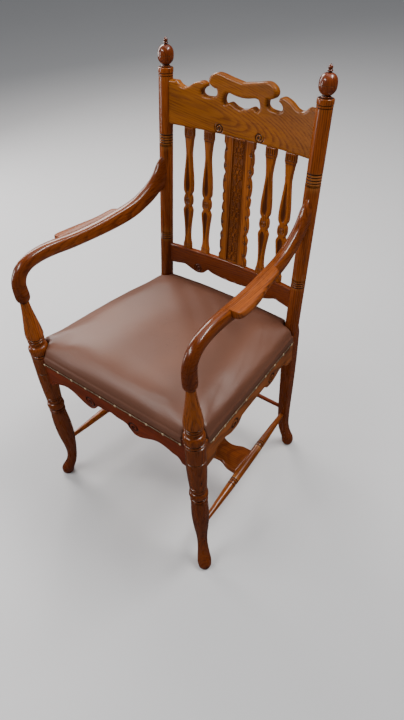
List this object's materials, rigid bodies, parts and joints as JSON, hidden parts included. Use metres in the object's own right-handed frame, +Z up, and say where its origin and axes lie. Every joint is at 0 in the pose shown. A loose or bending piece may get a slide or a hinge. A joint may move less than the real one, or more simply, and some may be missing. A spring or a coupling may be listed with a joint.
{
  "type": "captains chair",
  "caption": "Carved oak captains chair with open curved arms, turned legs and posts, splat and spindle back, and a domed leather seat edged with domed nails.",
  "frame": {"origin": "on the floor, under the middle of the chair's overall box", "axes": "+Z up, -Y the way the sitter faces, +X to the right of someone looking at the chair from its front"},
  "size_m": [0.5748, 0.6008, 1.113],
  "materials": {
    "oak": "polished",
    "dark_oak": "polished",
    "crest_oak": "polished",
    "beech": "raw",
    "leather": "semi-matt",
    "jute": "woven",
    "hair": "matt",
    "brass": "antiqued",
    "steel": "dull"
  },
  "bodies": {
    "root": {"crest_rail": "crest_oak", "lower_back_rail": "oak", "splat": "oak", "spindle_1": "oak", "spindle_2": "oak", "spindle_3": "oak", "spindle_4": "oak", "finial_left": "dark_oak", "finial_right": "dark_oak", "front_rail": "dark_oak", "rear_seat_rail": "dark_oak", "side_rail_left": "dark_oak", "side_rail_right": "dark_oak", "front_leg_left": "dark_oak", "front_leg_right": "dark_oak", "back_leg_left": "dark_oak", "back_leg_right": "dark_oak", "arm_left": "oak", "arm_right": "oak", "arm_pad_left": "oak", "arm_pad_right": "oak", "arm_screw_left": "steel", "arm_screw_right": "steel", "arm_plug_left": "dark_oak", "arm_plug_right": "dark_oak", "cross_stretcher": "oak", "back_stretcher": "dark_oak", "side_stretcher_left": "oak", "side_stretcher_right": "oak", "corner_block_front_left": "beech", "corner_block_front_right": "beech", "corner_block_back_left": "beech", "corner_block_back_right": "beech", "block_screw_front_left_rail": "steel", "block_screw_front_left_side": "steel", "block_screw_front_right_rail": "steel", "block_screw_front_right_side": "steel", "block_screw_back_left_rail": "steel", "block_screw_back_left_side": "steel", "block_screw_back_right_rail": "steel", "block_screw_back_right_side": "steel", "seat_webbing": "jute", "seat_hessian": "jute", "seat_stuffing": "hair", "seat_leather": "leather", "nail_strip_front": "brass", "nail_strip_right": "brass", "nail_strip_back": "brass", "nail_strip_left": "brass"}
  },
  "joints": []
}
